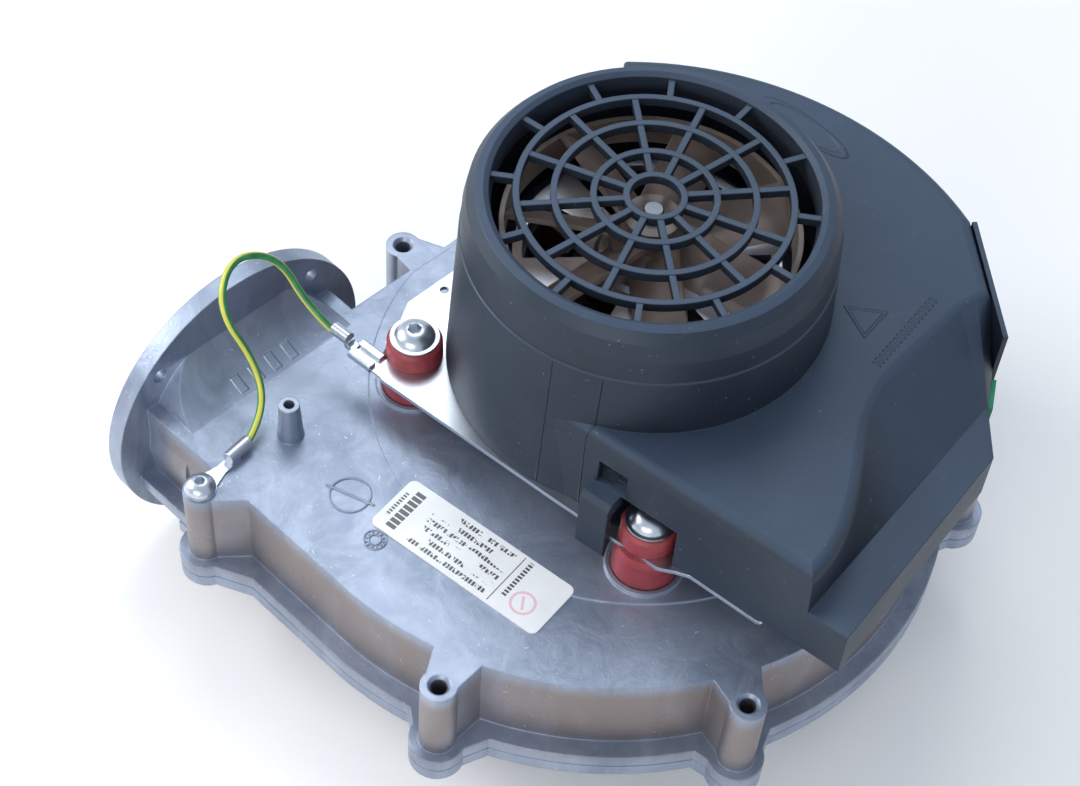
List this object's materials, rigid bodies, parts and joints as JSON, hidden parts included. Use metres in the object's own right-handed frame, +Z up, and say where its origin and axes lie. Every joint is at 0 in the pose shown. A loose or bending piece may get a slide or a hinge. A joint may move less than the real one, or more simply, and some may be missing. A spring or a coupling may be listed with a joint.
{
  "type": "combustion fan",
  "caption": "Centrifugal gas burner fan: die-cast volute with round outlet flange and bell inlet, mains motor and electronics under a black grilled cover on rubber isolators.",
  "frame": {"origin": "on the shaft's axis, in the plane of the flat inlet face underneath", "axes": "+Z up along the shaft, from the inlet to the cooling grille; the round outlet blows towards -X; the discharge duct lies on the -Y side"},
  "size_m": [0.2186, 0.2455, 0.157],
  "materials": {
    "cast_aluminium": "as die-cast, satin",
    "zinc_sheet": "zinc plated",
    "steel": "bright",
    "lamination": "oxidised laminations",
    "copper": "enamelled copper wire",
    "magnet": "sintered ferrite",
    "black_plastic": "fine spark-eroded texture",
    "amber_plastic": "translucent amber",
    "silicone": "brick red",
    "seal_rubber": "matt",
    "board": "solder mask",
    "green_plastic": "plain",
    "label_paper": "satin film",
    "wire_insulation": "green with a yellow stripe"
  },
  "bodies": {
    "stator": {"volute_housing": "cast_aluminium", "inlet_cover": "cast_aluminium", "housing_gasket": "seal_rubber", "casing_screws": "steel", "lower_shield": "cast_aluminium", "upper_shield": "cast_aluminium", "lower_bearing": "steel", "upper_bearing": "steel", "stator_core": "lamination", "stator_coils": "copper", "motor_screws": "steel", "mounting_plate": "zinc_sheet", "isolator_rubbers": "silicone", "isolator_sleeves": "steel", "isolator_screws": "zinc_sheet", "shaft_seal": "seal_rubber", "motor_cover": "black_plastic", "side_panel": "black_plastic", "circuit_board": "board", "supply_connector": "green_plastic", "rating_label": "label_paper", "earth_screw": "zinc_sheet", "earth_wire": "wire_insulation", "ring_terminal": "zinc_sheet", "faston_receptacle": "zinc_sheet"},
    "rotor": {"impeller_blades": "cast_aluminium", "impeller_shroud": "cast_aluminium", "impeller_disc": "cast_aluminium", "impeller_hub": "steel", "impeller_nut": "steel", "rotor_shaft": "steel", "rotor_core": "lamination", "rotor_magnets": "magnet", "cooling_fan": "amber_plastic"}
  },
  "joints": [
    {"name": "rotor_spin", "type": "hinge", "parent": "stator", "child": "rotor", "pos_m": [0, 0, 0.08], "axis": [0, 0, 1], "continuous": true}
  ]
}
